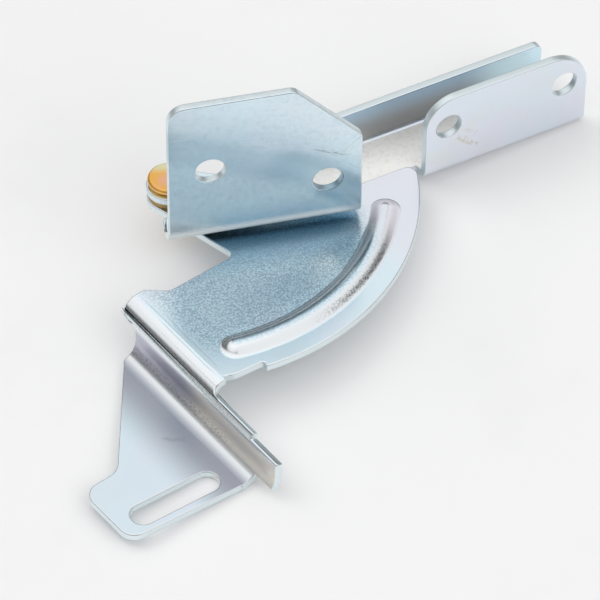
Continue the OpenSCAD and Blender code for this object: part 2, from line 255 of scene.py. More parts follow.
sky.links.new(background.outputs[0], add(sky, "ShaderNodeOutputWorld").inputs["Surface"])
print("the room runs from", DIM, "low down to", OVERHEAD, "overhead")

# %% [markdown]
# ## Two softboxes
#
# The one clear shadow falls towards the viewer and to the right, so the main lamp stands behind the hinge and to its
# left. A second, weaker one in front keeps that shadow pale. The bright ceiling is already in the world, so both are
# kept out of mirror rays: otherwise the bends would show lamp and ceiling on top of each other and burn out to white.

# %% Softboxes
LAMP_DISTANCE = 1.2
middle = (cad_box[0] + cad_box[1]) / 2


def softbox(name, way, size, radiance):
    """A square area light that looks at the hinge from a direction of the view."""
    data = bpy.data.lights.new(name, "AREA")
    data.shape = "SQUARE"
    data.size = size
    data.energy = radiance * math.pi * size**2
    lamp = bpy.data.objects.new(name, data)
    bpy.context.scene.collection.objects.link(lamp)
    lamp_way = turn_to_row @ Vector(way).normalized()
    lamp.location = middle + lamp_way * LAMP_DISTANCE
    lamp.rotation_euler = lamp_way.to_track_quat("Z", "Y").to_euler()
    lamp.visible_glossy = False
    print(name, "of", size, "m at", LAMP_DISTANCE, "m")


softbox("main_softbox", (-0.63, 0.21, 0.745), 0.8, 1.35)
softbox("fill_softbox", (0.50, -0.60, 0.62), 1.0, 1.25)

# %% [markdown]
# ## The table top
#
# The table is one large pale sheet, a little uneven in tone, because a perfectly even floor makes an object look cut
# out. A photograph for a shop is brightened until its background is nearly white. More light on the hinge would burn
# out the metal, so the table glows a little instead, and only for the camera and for mirror rays: the metal shows the
# same pale table as the picture does, and the shadows stay.

# %% Table top
TABLE_SIZE = 3.0
TABLE_COLOUR = (0.88, 0.88, 0.88, 1.0)
TABLE_SHADE = (0.855, 0.855, 0.86, 1.0)
TABLE_GLOW = 1.0
GLOW_SHARE = 0.12

half = TABLE_SIZE / 2
table_mesh = bpy.data.meshes.new("table_top")
table_mesh.from_pydata([(-half, -half, 0), (half, -half, 0), (half, half, 0), (-half, half, 0)], [], [(0, 1, 2, 3)])
table_top = bpy.data.objects.new("table_top", table_mesh)
bpy.context.scene.collection.objects.link(table_top)
table_top.rotation_euler = table_normal.to_track_quat("Z", "Y").to_euler()
table_top.location = stand_edge - table_normal * 0.02 * MM

paper = bpy.data.materials.new("pale_table")
paper.use_nodes = True
tree = paper.node_tree
patches = add(
    tree,
    "ShaderNodeTexNoise",
    {"Vector": add(tree, "ShaderNodeTexCoord").outputs["Object"], "Scale": 24.0, "Detail": 3.0, "Roughness": 0.6},
)
matt = tree.nodes["Principled BSDF"]
matt.inputs["Roughness"].default_value = 0.9
matt.inputs["Specular IOR Level"].default_value = 0.1
patch_mask = ramp(tree, patches.outputs[0], 0.0, 1.0, 0.5, 0.75)
tree.links.new(mix(tree, patch_mask, TABLE_COLOUR, TABLE_SHADE), matt.inputs["Base Color"])
rays = add(tree, "ShaderNodeLightPath")
seen = calc(tree, "MAXIMUM", rays.outputs["Is Camera Ray"], rays.outputs["Is Glossy Ray"])
seen = calc(tree, "MAXIMUM", seen, rays.outputs["Is Transmission Ray"])
glow = add(tree, "ShaderNodeEmission", {"Color": (1.0, 1.0, 1.0, 1.0), "Strength": TABLE_GLOW})
surface = add(tree, "ShaderNodeMixShader", {0: calc(tree, "MULTIPLY", seen, GLOW_SHARE), 1: matt.outputs[0], 2: glow.outputs[0]})
tree.links.new(surface.outputs[0], tree.nodes["Material Output"].inputs["Surface"])
table_mesh.materials.append(paper)
print("table top made")

# %% [markdown]
# ## Edges that aren't knife sharp
#
# A punch rolls the sheet over where it enters, so every cut edge of the real pressings has a round rim that catches
# the light. In Blender that is a Bevel modifier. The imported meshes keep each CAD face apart, so a Weld joins them
# first, and a planar Decimate turns the triangles of each flat face into one polygon, because a bevel runs cleanest
# between large faces. Weighted normals then keep the flats flat and let only the rims shade round. The CAD mesh
# itself stays as it is.

# %% Rims
RIM_ANGLE = math.radians(40)
FLAT_ANGLE = math.radians(0.3)


def round_edges(name, width_mm):
    """Gives a CAD node's sharp edges a round rim, as modifiers."""
    node = frame["nodes"][name]
    node.modifiers.new("weld", "WELD").merge_threshold = 1e-7
    flats = node.modifiers.new("flats", "DECIMATE")
    flats.decimate_type = "DISSOLVE"
    flats.angle_limit = FLAT_ANGLE
    rim = node.modifiers.new("rim", "BEVEL")
    rim.limit_method = "ANGLE"
    rim.angle_limit = RIM_ANGLE
    rim.width = width_mm * MM
    rim.segments = 3
    rim.use_clamp_overlap = False
    shading = node.modifiers.new("shading", "WEIGHTED_NORMAL")
    shading.mode = "FACE_AREA"
    shading.weight = 50
    print(name, "gets a rim of", width_mm, "mm")


for name, width_mm in (
    ("sector_plate", 0.38),
    ("channel_arm", 0.35),
    ("pivot_bracket", 0.38),
    ("pivot_rivet", 0.15),
    ("spacer_washer", 0.2),
):
    round_edges(name, width_mm)

# %% [markdown]
# ## The grain of plated sheet
#
# Zinc plated cold rolled sheet is neither smooth nor rough. Fine crystals give it a grain of a few tenths of a
# millimetre, and rolling and pressing leave it very slightly wavy, which is what makes the reflections of a flat
# plate drift from blue to grey. Both are heights, so they go through one Bump node in each material. They are a few
# hundredths of a millimetre deep at most, far below what the mesh should carry.

# %% Group: sheet grain
grain, given, result = new_group(
    "sheet grain",
    [
        ("Vector", "vector", (0.0, 0.0, 0.0)),
        ("Grain size mm", "float", 0.5),
        ("Grain depth", "float", 1.0),
        ("Wave size mm", "float", 20.0),
        ("Wave depth", "float", 1.0),
    ],
    [("Height", "float"), ("Speckle", "float")],
)


def noise_at(tree, vector, size_mm, detail=2.0, roughness=0.5, distortion=0.0):
    """Noise whose lumps are about size_mm across, in a tree whose vector is in metres."""
    scale = calc(tree, "DIVIDE", 1.0 / MM, size_mm)
    return add(
        tree,
        "ShaderNodeTexNoise",
        {"Vector": vector, "Scale": scale, "Detail": detail, "Roughness": roughness, "Distortion": distortion},
    ).outputs[0]


fine = noise_at(grain, given.outputs["Vector"], given.outputs["Grain size mm"], 3.0, 0.6)
wave = noise_at(grain, given.outputs["Vector"], given.outputs["Wave size mm"], 1.0, 0.4)
fine_height = calc(grain, "MULTIPLY", fine, given.outputs["Grain depth"])
wave_height = calc(grain, "MULTIPLY", wave, given.outputs["Wave depth"])
grain.links.new(calc(grain, "ADD", fine_height, wave_height), result.inputs["Height"])
grain.links.new(ramp(grain, fine, 0.0, 1.0, 0.38, 0.62), result.inputs["Speckle"])
print("group", grain.name, "made")

# %% [markdown]
# ## The passivation film
#
# The blue of zinc plating is a clear film a few hundred nanometres thick. Where it is a little thinner or thicker the
# blue turns to lilac or to straw yellow, in soft clouds. Real thin film interference could be set on the shader, but
# that costs time and isn't kept by an export, so the clouds are mixed as colours.

# %% Group: passivation film
film, given, result = new_group(
    "passivation film",
    [
        ("Vector", "vector", (0.0, 0.0, 0.0)),
        ("Base", "color", (0.7, 0.8, 0.86, 1.0)),
        ("Lilac", "color", (0.76, 0.76, 0.86, 1.0)),
        ("Straw", "color", (0.82, 0.78, 0.68, 1.0)),
        ("Cloud size mm", "float", 25.0),
        ("Lilac amount", "float", 0.5),
        ("Straw amount", "float", 0.2),
    ],
    [("Color", "color")],
)
lilac_cloud = noise_at(film, given.outputs["Vector"], given.outputs["Cloud size mm"], 2.0, 0.55, 0.3)
shifted = add(film, "ShaderNodeVectorMath", {0: given.outputs["Vector"], 1: (0.31, 0.17, 0.23)}, operation="ADD")
straw_cloud = noise_at(film, shifted.outputs[0], given.outputs["Cloud size mm"], 3.0, 0.6, 0.6)
lilac_mask = calc(film, "MULTIPLY", ramp(film, lilac_cloud, 0.0, 1.0, 0.42, 0.68), given.outputs["Lilac amount"])
straw_mask = calc(film, "MULTIPLY", ramp(film, straw_cloud, 0.0, 1.0, 0.5, 0.72), given.outputs["Straw amount"])
tinted = mix(film, lilac_mask, given.outputs["Base"], given.outputs["Lilac"])
film.links.new(mix(film, straw_mask, tinted, given.outputs["Straw"]), result.inputs["Color"])
print("group", film.name, "made")

# %% [markdown]
# ## Which way a surface faces
#
# Cut edges are paler and duller than the rolled faces, and bends are stretched and lose their blue. Both can be told
# by the way a surface faces in the hinge's own frame, so one small group turns a normal and a direction into a mask.

# %% Group: facing
facing_group, given, result = new_group(
    "facing",
    [
        ("Normal", "vector", (0.0, 0.0, 1.0)),
        ("Way", "vector", (0.0, 0.0, 1.0)),
        ("From", "float", 0.1),
        ("To", "float", 0.2),
    ],
    [("Mask", "float")],
)
along = add(
    facing_group,
    "ShaderNodeVectorMath",
    {0: given.outputs["Normal"], 1: given.outputs["Way"]},
    operation="DOT_PRODUCT",
).outputs["Value"]
facing_group.links.new(
    ramp(facing_group, along, 0.0, 1.0, given.outputs["From"], given.outputs["To"]), result.inputs["Mask"]
)


def facing(tree, normal, way, low, high):
    """1 where the surface faces the way given, both ways along it if low is above 0."""
    one = add_group(tree, facing_group, {"Normal": normal, "Way": way, "From": low, "To": high}).outputs["Mask"]
    back = tuple(-v for v in way)
    two = add_group(tree, facing_group, {"Normal": normal, "Way": back, "From": low, "To": high}).outputs["Mask"]
    return calc(tree, "MAXIMUM", one, two)


def facing_one_way(tree, normal, way, low, high):
    """1 where the surface faces the way given, and only that way."""
    return add_group(tree, facing_group, {"Normal": normal, "Way": way, "From": low, "To": high}).outputs["Mask"]


def both(tree, first, second):
    """Where two masks overlap."""
    return calc(tree, "MULTIPLY", first, second)


def either(tree, first, second):
    """Where one mask or the other is on."""
    return calc(tree, "MAXIMUM", first, second)


def outside(tree, mask):
    """Everywhere but the mask."""
    return calc(tree, "SUBTRACT", 1.0, mask)


print("group", facing_group.name, "made")

# %% [markdown]
# ## Marks from handling
#
# A few real marks make a part look used: a scuff beside a screw hole, a fine dent, a dull smudge. Each is a short
# streak that wanders, so one group makes them all: noise shifts the point a little, then the group measures how far it
# lies along the streak and away from it, and gives a mask.

# %% Group: streak
streak_group, given, result = new_group(
    "streak",
    [
        ("Vector", "vector", (0.0, 0.0, 0.0)),
        ("Middle", "vector", (0.0, 0.0, 0.0)),
        ("Along", "vector", (1.0, 0.0, 0.0)),
        ("Length mm", "float", 10.0),
        ("Width mm", "float", 1.0),
        ("Fray mm", "float", 0.5),
        ("Fray size mm", "float", 2.0),
    ],
    [("Mask", "float")],
)
wander = add(
    streak_group,
    "ShaderNodeTexNoise",
    {
        "Vector": given.outputs["Vector"],
        "Scale": calc(streak_group, "DIVIDE", 1.0 / MM, given.outputs["Fray size mm"]),
        "Detail": 4.0,
        "Roughness": 0.65,
    },
).outputs["Color"]
wander = add(streak_group, "ShaderNodeVectorMath", {0: wander, 1: (0.5, 0.5, 0.5)}, operation="SUBTRACT").outputs[0]
fray = calc(streak_group, "MULTIPLY", given.outputs["Fray mm"], 4.0 * MM)
wander = add(streak_group, "ShaderNodeVectorMath", {0: wander, "Scale": fray}, operation="SCALE").outputs[0]
offset = add(
    streak_group, "ShaderNodeVectorMath", {0: given.outputs["Vector"], 1: given.outputs["Middle"]}, operation="SUBTRACT"
).outputs[0]
offset = add(streak_group, "ShaderNodeVectorMath", {0: offset, 1: wander}, operation="ADD").outputs[0]
ahead = add(streak_group, "ShaderNodeVectorMath", {0: offset, 1: given.outputs["Along"]}, operation="DOT_PRODUCT")
ahead = ahead.outputs["Value"]
reached = add(streak_group, "ShaderNodeVectorMath", {0: given.outputs["Along"], "Scale": ahead}, operation="SCALE")
aside = add(streak_group, "ShaderNodeVectorMath", {0: offset, 1: reached.outputs[0]}, operation="SUBTRACT").outputs[0]
aside = add(streak_group, "ShaderNodeVectorMath", {0: aside}, operation="LENGTH").outputs["Value"]
aside = calc(streak_group, "MULTIPLY", aside, 1.0 / MM)
ahead = calc(streak_group, "MULTIPLY", calc(streak_group, "ABSOLUTE", ahead), 2.0 / MM)
end_mask = ramp(
    streak_group, ahead, 1.0, 0.0, calc(streak_group, "MULTIPLY", given.outputs["Length mm"], 0.6), given.outputs["Length mm"]
)
half_width = calc(streak_group, "MULTIPLY", given.outputs["Width mm"], 0.5)
side_mask = ramp(streak_group, aside, 1.0, 0.0, calc(streak_group, "MULTIPLY", half_width, 0.3), half_width)
streak_group.links.new(calc(streak_group, "MULTIPLY", end_mask, side_mask), result.inputs["Mask"])


def streak(tree, place, middle, along, length_mm, width_mm, fray_mm=0.3, fray_size_mm=2.0):
    """Mask of one mark on a surface."""
    values = {
        "Vector": place,
        "Middle": middle,
        "Along": along,
        "Length mm": length_mm,
        "Width mm": width_mm,
        "Fray mm": fray_mm,
        "Fray size mm": fray_size_mm,
    }
    return add_group(tree, streak_group, values).outputs["Mask"]


def along_mm(tree, place, way, start=pivot):
    """How far a point lies along a direction from a start, in millimetres."""
    gone = add(tree, "ShaderNodeVectorMath", {0: place, 1: tuple(start)}, operation="SUBTRACT").outputs[0]
    reach = add(tree, "ShaderNodeVectorMath", {0: gone, 1: tuple(way)}, operation="DOT_PRODUCT").outputs["Value"]
    return calc(tree, "MULTIPLY", reach, 1.0 / MM)


print("group", streak_group.name, "made")

# %% [markdown]
# ## Zinc plated steel
#
# All three pressings have the same finish with small differences, so one function makes their material from a few
# values, a function that tells its cut edges, and one that adds its marks. The metal itself is a Principled BSDF at
# full metallic, with colour, roughness and height from the groups.

# %% Zinc material
ZINC_BLUE = (0.76, 0.90, 0.97, 1.0)
ZINC_LILAC = (0.81, 0.83, 0.93, 1.0)
ZINC_STRAW = (0.83, 0.83, 0.77, 1.0)
ZINC_SILVER = (0.87, 0.89, 0.91, 1.0)
CUT_EDGE = (0.82, 0.91, 0.94, 1.0)
SPECKLE_SHADE = (0.26, 0.36, 0.42, 1.0)
UP = (0.0, 0.0, 1.0)


def no_grain(tree, place):
    """No grain at all."""
    return 0.0


def zinc_material(name, look, cut_edge, marks, where_grained=no_grain):
    """Zinc plating; look holds its numbers, the other three are functions that add nodes of their own."""
    material = bpy.data.materials.new(name)
    material.use_nodes = True
    tree = material.node_tree
    metal = tree.nodes["Principled BSDF"]
    coordinates = add(tree, "ShaderNodeTexCoord")
    place, normal = coordinates.outputs["Object"], coordinates.outputs["Normal"]
    grained = where_grained(tree, place)
    sheet = add_group(
        tree,
        grain,
        {
            "Vector": place,
            "Grain size mm": look["grain_mm"],
            "Grain depth": calc(tree, "MULTIPLY", grained, look["grain_depth"]),
            "Wave size mm": look["wave_mm"],
            "Wave depth": look["wave_depth"],
        },
    )
    blue = add_group(
        tree,
        film,
        {
            "Vector": place,
            "Base": look["base"],
            "Lilac": look["lilac"],
            "Straw": ZINC_STRAW,
            "Cloud size mm": look["cloud_mm"],
            "Lilac amount": look["lilac_amount"],
            "Straw amount": look["straw_amount"],
        },
    )
    speckle = both(tree, outside(tree, sheet.outputs["Speckle"]), look["speckle"])
    colour = mix(tree, both(tree, speckle, grained), blue.outputs["Color"], SPECKLE_SHADE)
    bend = outside(tree, facing(tree, normal, look["flat_way"], 0.92, 0.997))
    bend = both(tree, bend, look["bend_bare"])
    colour = mix(tree, bend, colour, ZINC_SILVER)
    rim = cut_edge(tree, place, normal)
    colour = mix(tree, rim, colour, CUT_EDGE)
    rough = calc(tree, "ADD", both(tree, both(tree, sheet.outputs["Speckle"], grained), 0.06), look["rough"])
    rough = calc(tree, "ADD", rough, calc(tree, "MULTIPLY", rim, 0.18))
    colour, rough, height, bare = marks(tree, place, normal, colour, rough, sheet.outputs["Height"])
    bump = add(tree, "ShaderNodeBump", {"Height": height, "Distance": MM, "Strength": 1.0})
    metal.inputs["Metallic"].default_value = 1.0
    if bare is not None:
        tree.links.new(bare, metal.inputs["Metallic"])
    tree.links.new(colour, metal.inputs["Base Color"])
    tree.links.new(rough, metal.inputs["Roughness"])
    tree.links.new(bump.outputs[0], metal.inputs["Normal"])
    return material


def finish_node(name, material):
    """Gives a CAD node its material in every slot."""
    mesh = frame["nodes"][name].data
    mesh.materials.clear()
    mesh.materials.append(material)
    print(name, "is finished in", material.name)


# %% [markdown]
# ## The sector plate
#
# The largest pressing has the coarsest grain, like frost. Its joggle shows fine lines where the sheet was drawn over
# the die. Beside the lower bend a darker colour is painted as shade, fading out over the slot plate, and the joggle's
# wall is painted tan and dark lilac as reflections. In front of the bracket a deep blue shade is painted.

# %% Sector plate
BRACKET_TURN = math.radians(-14.5)
along_bracket = Vector((math.cos(BRACKET_TURN), math.sin(BRACKET_TURN), 0.0))
bracket_front = Vector((math.sin(BRACKET_TURN), -math.cos(BRACKET_TURN), 0.0))
SLOT_PLATE_DEPTH = -12.0
# A dark colour painted as shade beside the lower bend
FOLD_PAINTED_SHADE = (0.30, 0.305, 0.355, 1.0)
# Tan and dark lilac painted on the joggle's wall as reflections
WALL_PAINTED_TAN = (0.90, 0.86, 0.80, 1.0)
WALL_PAINTED_LILAC = (0.58, 0.59, 0.68, 1.0)
BEND_SPECKS = (0.16, 0.16, 0.17, 1.0)
RIM_LILAC = (0.84, 0.805, 0.875, 1.0)
SMUDGE = (0.30, 0.32, 0.35, 1.0)
# A deep blue painted as shade on the plate in front of the bracket
NAVY_PAINTED_SHADE = (0.13, 0.33, 0.48, 1.0)
DRAW_SHADE = (0.35, 0.38, 0.42, 1.0)
DRAW_LINES = ((-0.7, 0.0, 40.0, 22.0), (0.4, 0.01, 36.0, 30.0), (1.3, 0.15, 41.0, 24.0))


def sector_cut_edge(tree, place, normal):
    """Upright faces that aren't the joggle's wall, and the joggle's slanting free edge."""
    depth = along_mm(tree, place, UP)
    upright = outside(tree, facing(tree, normal, UP, 0.30, 0.75))
    off_wall = outside(tree, facing(tree, normal, tuple(across_joggle), 0.90, 0.97))
    near_top = ramp(tree, depth, 0.0, 1.0, -2.15, -2.0)
    near_bottom = ramp(tree, depth, 1.0, 0.0, -12.0, -11.8)
    cut = both(tree, upright, either(tree, off_wall, either(tree, near_top, near_bottom)))
    slanting = both(
        tree,
        facing_one_way(tree, normal, tuple(-across_joggle), 0.3, 0.45),
        facing_one_way(tree, normal, UP, 0.25, 0.4),
    )
    bead_free = ramp(tree, along_mm(tree, place, across_joggle), 0.0, 1.0, JOGGLE_START / MM - 0.5, JOGGLE_START / MM + 0.5)
    return either(tree, cut, both(tree, slanting, bead_free))


def sector_marks(tree, place, normal, colour, rough, height):
    """Draw lines, specks, a smudge, painted shade by the lower bend and the bracket, painted reflection on the wall."""
    across = along_mm(tree, place, across_joggle)
    depth = along_mm(tree, place, UP)
    for from_bend, below, middle_mm, length_mm in DRAW_LINES:
        at = pivot + across_joggle * (JOGGLE_START + from_bend * MM) + along_joggle * middle_mm * MM
        at.z -= below * MM
        line = streak(tree, place, tuple(at), tuple(along_joggle), length_mm, 0.42, 0.1, 6.0)
        colour = mix(tree, both(tree, line, 0.35), colour, DRAW_SHADE)
        height = calc(tree, "SUBTRACT", height, both(tree, line, 0.02))
    # Painted shade: the plate beside the lower bend is darkened, fading out over the slot plate, and the slot plate a
    # little all over.
    beside_fold = both(
        tree,
        both(tree, ramp(tree, across, 0.0, 1.0, 31.0, 34.0), ramp(tree, across, 1.0, 0.0, 35.0, 48.0)),
        ramp(tree, depth, 1.0, 0.0, SLOT_PLATE_DEPTH + 1.5, SLOT_PLATE_DEPTH + 4.5),
    )
    facing_up = facing_one_way(tree, normal, UP, 0.80, 0.96)
    colour = mix(tree, both(tree, both(tree, beside_fold, facing_up), 0.85), colour, FOLD_PAINTED_SHADE)
    stepped_down = both(tree, facing_up, ramp(tree, depth, 1.0, 0.0, SLOT_PLATE_DEPTH + 0.5, SLOT_PLATE_DEPTH + 2.0))
    colour = mix(tree, both(tree, stepped_down, 0.1), colour, FOLD_PAINTED_SHADE)
    wall = both(
        tree,
        both(tree, ramp(tree, depth, 1.0, 0.0, -5.0, -3.5), ramp(tree, across, 1.0, 0.0, 36.0, 38.0)),
        facing_one_way(tree, normal, tuple(across_joggle), 0.6, 0.9),
    )
    rough = calc(tree, "ADD", rough, both(tree, wall, 0.24))
    down_joggle = along_mm(tree, place, along_joggle)
    # Painted reflection: the joggle's wall is tinted tan towards one end and dark lilac towards the other.
    colour = mix(tree, both(tree, wall, ramp(tree, down_joggle, 0.0, 1.0, 40.0, 52.0)), colour, WALL_PAINTED_TAN)
    colour = mix(tree, both(tree, wall, ramp(tree, down_joggle, 1.0, 0.0, 43.0, 53.0)), colour, WALL_PAINTED_LILAC)
    bare = outside(tree, both(tree, wall, ramp(tree, down_joggle, 0.0, 0.4, 47.0, 58.0)))
    steep = both(
        tree,
        facing_one_way(tree, normal, UP, 0.26, 0.48),
        outside(tree, facing_one_way(tree, normal, UP, 0.60, 0.85)),
    )
    on_joggle = both(tree, ramp(tree, across, 0.0, 1.0, 20.0, 24.0), ramp(tree, across, 1.0, 0.0, 38.0, 40.0))
    on_joggle = both(tree, on_joggle, ramp(tree, down_joggle, 1.0, 0.0, 58.0, 68.0))
    gone = add(tree, "ShaderNodeVectorMath", {0: place, 1: tuple(pivot)}, operation="SUBTRACT").outputs[0]
    from_rivet = add(tree, "ShaderNodeVectorMath", {0: gone}, operation="LENGTH").outputs["Value"]
    outer_flank = both(tree, ramp(tree, from_rivet, 0.0, 1.0, 0.0505, 0.052), ramp(tree, from_rivet, 1.0, 0.0, 0.054, 0.055))
    outer_flank = both(tree, outer_flank, outside(tree, facing_one_way(tree, normal, UP, 0.72, 0.97)))
    outward = along_mm(tree, place, (1.0, 0.0, 0.0))
    middle = both(tree, ramp(tree, outward, 0.0, 1.0, 8.0, 24.0), ramp(tree, outward, 1.0, 0.0, 34.0, 46.0))
    specks = ramp(tree, noise_at(tree, place, 0.45, 2.0, 0.6), 0.0, 0.7, 0.46, 0.62)
    on_bends = both(tree, both(tree, steep, on_joggle), 0.6)
    drawn = either(tree, on_bends, both(tree, outer_flank, middle))
    colour = mix(tree, both(tree, specks, drawn), colour, BEND_SPECKS)
    # Painted shade: a deep blue patch on the plate in front of the bracket's foot.
    in_front = along_mm(tree, place, bracket_front)
    under_bracket = both(tree, ramp(tree, in_front, 1.0, 0.0, 19.0, 30.0), ramp(tree, in_front, 0.0, 1.0, 11.0, 17.0))
    under_bracket = both(tree, under_bracket, ramp(tree, from_rivet, 1.0, 0.0, 0.040, 0.048))
    under_bracket = both(tree, under_bracket, facing_one_way(tree, normal, UP, 0.6, 0.9))
    colour = mix(tree, both(tree, under_bracket, 0.7), colour, NAVY_PAINTED_SHADE)
    by_channel = both(tree, ramp(tree, outward, 0.0, 0.6, 33.0, 42.0), facing_one_way(tree, normal, UP, 0.9, 0.99))
    colour = mix(tree, by_channel, colour, RIM_LILAC)
    bead_end = both(tree, ramp(tree, from_rivet, 0.0, 1.0, 0.0455, 0.0465), ramp(tree, from_rivet, 1.0, 0.0, 0.055, 0.056))
    bead_end = both(tree, bead_end, ramp(tree, outward, 0.0, 0.85, 33.0, 43.0))
    bead_end = both(tree, bead_end, outside(tree, facing_one_way(tree, normal, UP, 0.93, 0.995)))
    colour = mix(tree, bead_end, colour, RIM_LILAC)
    bare = both(tree, bare, outside(tree, bead_end))
    smudge = streak(tree, place, tuple(from_pivot(-28.1, -59.0, SLOT_PLATE_DEPTH)), tuple(level_right), 6.5, 1.8, 0.6, 1.5)
    colour = mix(tree, both(tree, smudge, 0.35), colour, SMUDGE)
    rough = calc(tree, "ADD", rough, both(tree, smudge, 0.06))
    return colour, rough, height, bare


def sector_grained(tree, place):
    """Coarse grain inside the bead, faint grain on the rim and the slot plate."""
    gone = add(tree, "ShaderNodeVectorMath", {0: place, 1: tuple(pivot)}, operation="SUBTRACT").outputs[0]
    from_rivet = add(tree, "ShaderNodeVectorMath", {0: gone}, operation="LENGTH").outputs["Value"]
    inside_bead = ramp(tree, from_rivet, 1.0, 0.08, 0.044, 0.056)
    inside_bead = both(tree, inside_bead, ramp(tree, along_mm(tree, place, (1.0, 0.0, 0.0)), 1.0, 0.12, 34.0, 40.0))
    return both(tree, inside_bead, ramp(tree, along_mm(tree, place, across_joggle), 1.0, 0.15, 20.0, 25.0))


SECTOR_LOOK = {
    "base": ZINC_BLUE,
    "lilac": ZINC_LILAC,
    "lilac_amount": 0.45,
    "straw_amount": 0.18,
    "cloud_mm": 22.0,
    "grain_mm": 0.45,
    "grain_depth": 0.036,
    "wave_mm": 26.0,
    "wave_depth": 0.03,
    "speckle": 0.62,
    "rough": 0.20,
    "bend_bare": 0.85,
    "flat_way": UP,
}
finish_node(
    "sector_plate",
    zinc_material("sector_plate_zinc", SECTOR_LOOK, sector_cut_edge, sector_marks, sector_grained),
)

# %% [markdown]
# ## The channel arm
#
# The channel is smoother. Its film is lilac white on the outside of the front flange. The web is dull and near white,
# partly its own surface and partly a painted reflection of the sky. The inside of the rear flange is painted: a grey
# shade near the pivot, silver low down where it mirrors the web, blue reflections towards its top and far end.
# Beside the near screw hole is a scuff from the screw's head.

# %% Channel arm
WEB_HEIGHT = -4.0
SCUFF = (0.62, 0.56, 0.44, 1.0)
CHANNEL_LILAC = (0.85, 0.855, 0.945, 1.0)
CHANNEL_WHITE = (0.80, 0.87, 0.945, 1.0)
# Near white of the dull web: partly its own whiter, rougher surface, partly a painted reflection of the sky
WEB_WHITE_AND_REFLECTION = (0.95, 0.94, 0.915, 1.0)
WEB_TARNISH = (0.80, 0.75, 0.64, 1.0)
# Painted shade and reflections on the inside of the rear flange
REAR_PAINTED_SHADE = (0.37, 0.38, 0.385, 1.0)
REAR_BLUE_REFLECTION = (0.71, 0.91, 1.0, 1.0)
REAR_TOP_REFLECTION = (0.42, 0.60, 0.78, 1.0)
REAR_TOP = 8.8
DULL_WEB = 1.0
SCUFF_MARKS = ((3.4, -5.4, 3.4, 1.3), (5.0, -7.4, 4.2, 1.5), (7.2, -8.6, 2.6, 1.1), (5.6, -3.6, 6.0, 0.5))
FRONT = (0.0, -1.0, 0.0)
near_hole = Vector((-15.4, 0.0, 0.0)) * MM


def channel_cut_edge(tree, place, normal):
    """Ends of the web, and the flanges' upper edges and hole walls."""
    endways = facing(tree, normal, (1.0, 0.0, 0.0), 0.12, 0.35)
    above_web = ramp(tree, along_mm(tree, place, UP), 0.0, 1.0, WEB_HEIGHT + 3.0, WEB_HEIGHT + 4.0)
    flange_edge = both(tree, above_web, outside(tree, facing(tree, normal, FRONT, 0.3, 0.75)))
    return either(tree, endways, flange_edge)


def channel_marks(tree, place, normal, colour, rough, height):
    """Dull white web with tarnish, painted shade and reflections inside the rear flange, and a scuff by the near hole.
    """
    outward = along_mm(tree, place, (1.0, 0.0, 0.0))
    low_down = ramp(tree, along_mm(tree, place, UP), 1.0, 0.0, WEB_HEIGHT + 3.0, WEB_HEIGHT + 4.0)
    inward = along_mm(tree, place, FRONT)
    front_fold = both(tree, facing_one_way(tree, normal, UP, 0.2, 0.8), ramp(tree, inward, 0.0, 1.0, 6.0, 8.0))
    web = either(tree, facing_one_way(tree, normal, UP, 0.96, 0.995), front_fold)
    web = both(tree, web, low_down)
    # The web is made dull and near white: partly its own surface, partly a painted reflection of the bright sky.
    colour = mix(tree, web, colour, WEB_WHITE_AND_REFLECTION)
    tarnish = ramp(tree, noise_at(tree, place, 1.1, 3.0, 0.65), 0.0, 0.5, 0.48, 0.66)
    colour = mix(tree, both(tree, web, tarnish), colour, WEB_TARNISH)
    # Painted shade and reflections inside the rear flange: grey near the pivot, silver low down, blue up top and far
    # out.
    rear_inside = both(
        tree,
        facing_one_way(tree, normal, FRONT, 0.85, 0.97),
        ramp(tree, inward, 1.0, 0.0, 6.0, 8.0),
    )
    greyness = ramp(tree, outward, 0.0, 1.0, 74.0, 88.0)
    near_top = ramp(tree, along_mm(tree, place, UP), 0.0, 0.8, WEB_HEIGHT + 5.5, REAR_TOP)
    rear_painted_colour = mix(tree, near_top, REAR_PAINTED_SHADE, REAR_TOP_REFLECTION)
    by_pivot = both(
        tree,
        ramp(tree, outward, 1.0, 0.0, 40.0, 54.0),
        ramp(tree, along_mm(tree, place, UP), 0.8, 0.0, WEB_HEIGHT + 2.0, WEB_HEIGHT + 8.0),
    )
    rear_painted_colour = mix(tree, by_pivot, rear_painted_colour, ZINC_SILVER)
    colour = mix(tree, rear_inside, colour, mix(tree, greyness, rear_painted_colour, REAR_BLUE_REFLECTION))
    for right_mm, up_mm, length_mm, width_mm in SCUFF_MARKS:
        at = near_hole + Vector((right_mm, 0.0, up_mm)) * MM
        mark = streak(tree, place, tuple(at), (0.83, 0.0, -0.55), length_mm, width_mm, 0.9, 1.1)
        colour = mix(tree, both(tree, mark, 0.6), colour, SCUFF)
        rough = calc(tree, "ADD", rough, both(tree, mark, 0.12))
    bare = outside(tree, both(tree, web, DULL_WEB))
    return colour, rough, height, bare


CHANNEL_LOOK = {
    "base": CHANNEL_WHITE,
    "lilac": CHANNEL_LILAC,
    "lilac_amount": 0.8,
    "straw_amount": 0.3,
    "cloud_mm": 20.0,
    "grain_mm": 0.6,
    "grain_depth": 0.0,
    "wave_mm": 18.0,
    "wave_depth": 0.05,
    "speckle": 0.0,
    "rough": 0.26,
    "bend_bare": 0.0,
    "flat_way": FRONT,
}
finish_node("channel_arm", zinc_material("channel_arm_zinc", CHANNEL_LOOK, channel_cut_edge, channel_marks))

# %% [markdown]
# ## The bracket
#
# The bracket is the bluest and the smoothest of the three. It hung level in the bath, so its film has faint streaks
# along its length, and it is finely mottled. Dark bands painted as reflections run down to its right corner, and a
# pale line along the fold of its foot is a painted highlight. One ragged dent crosses the sheet above a hole.

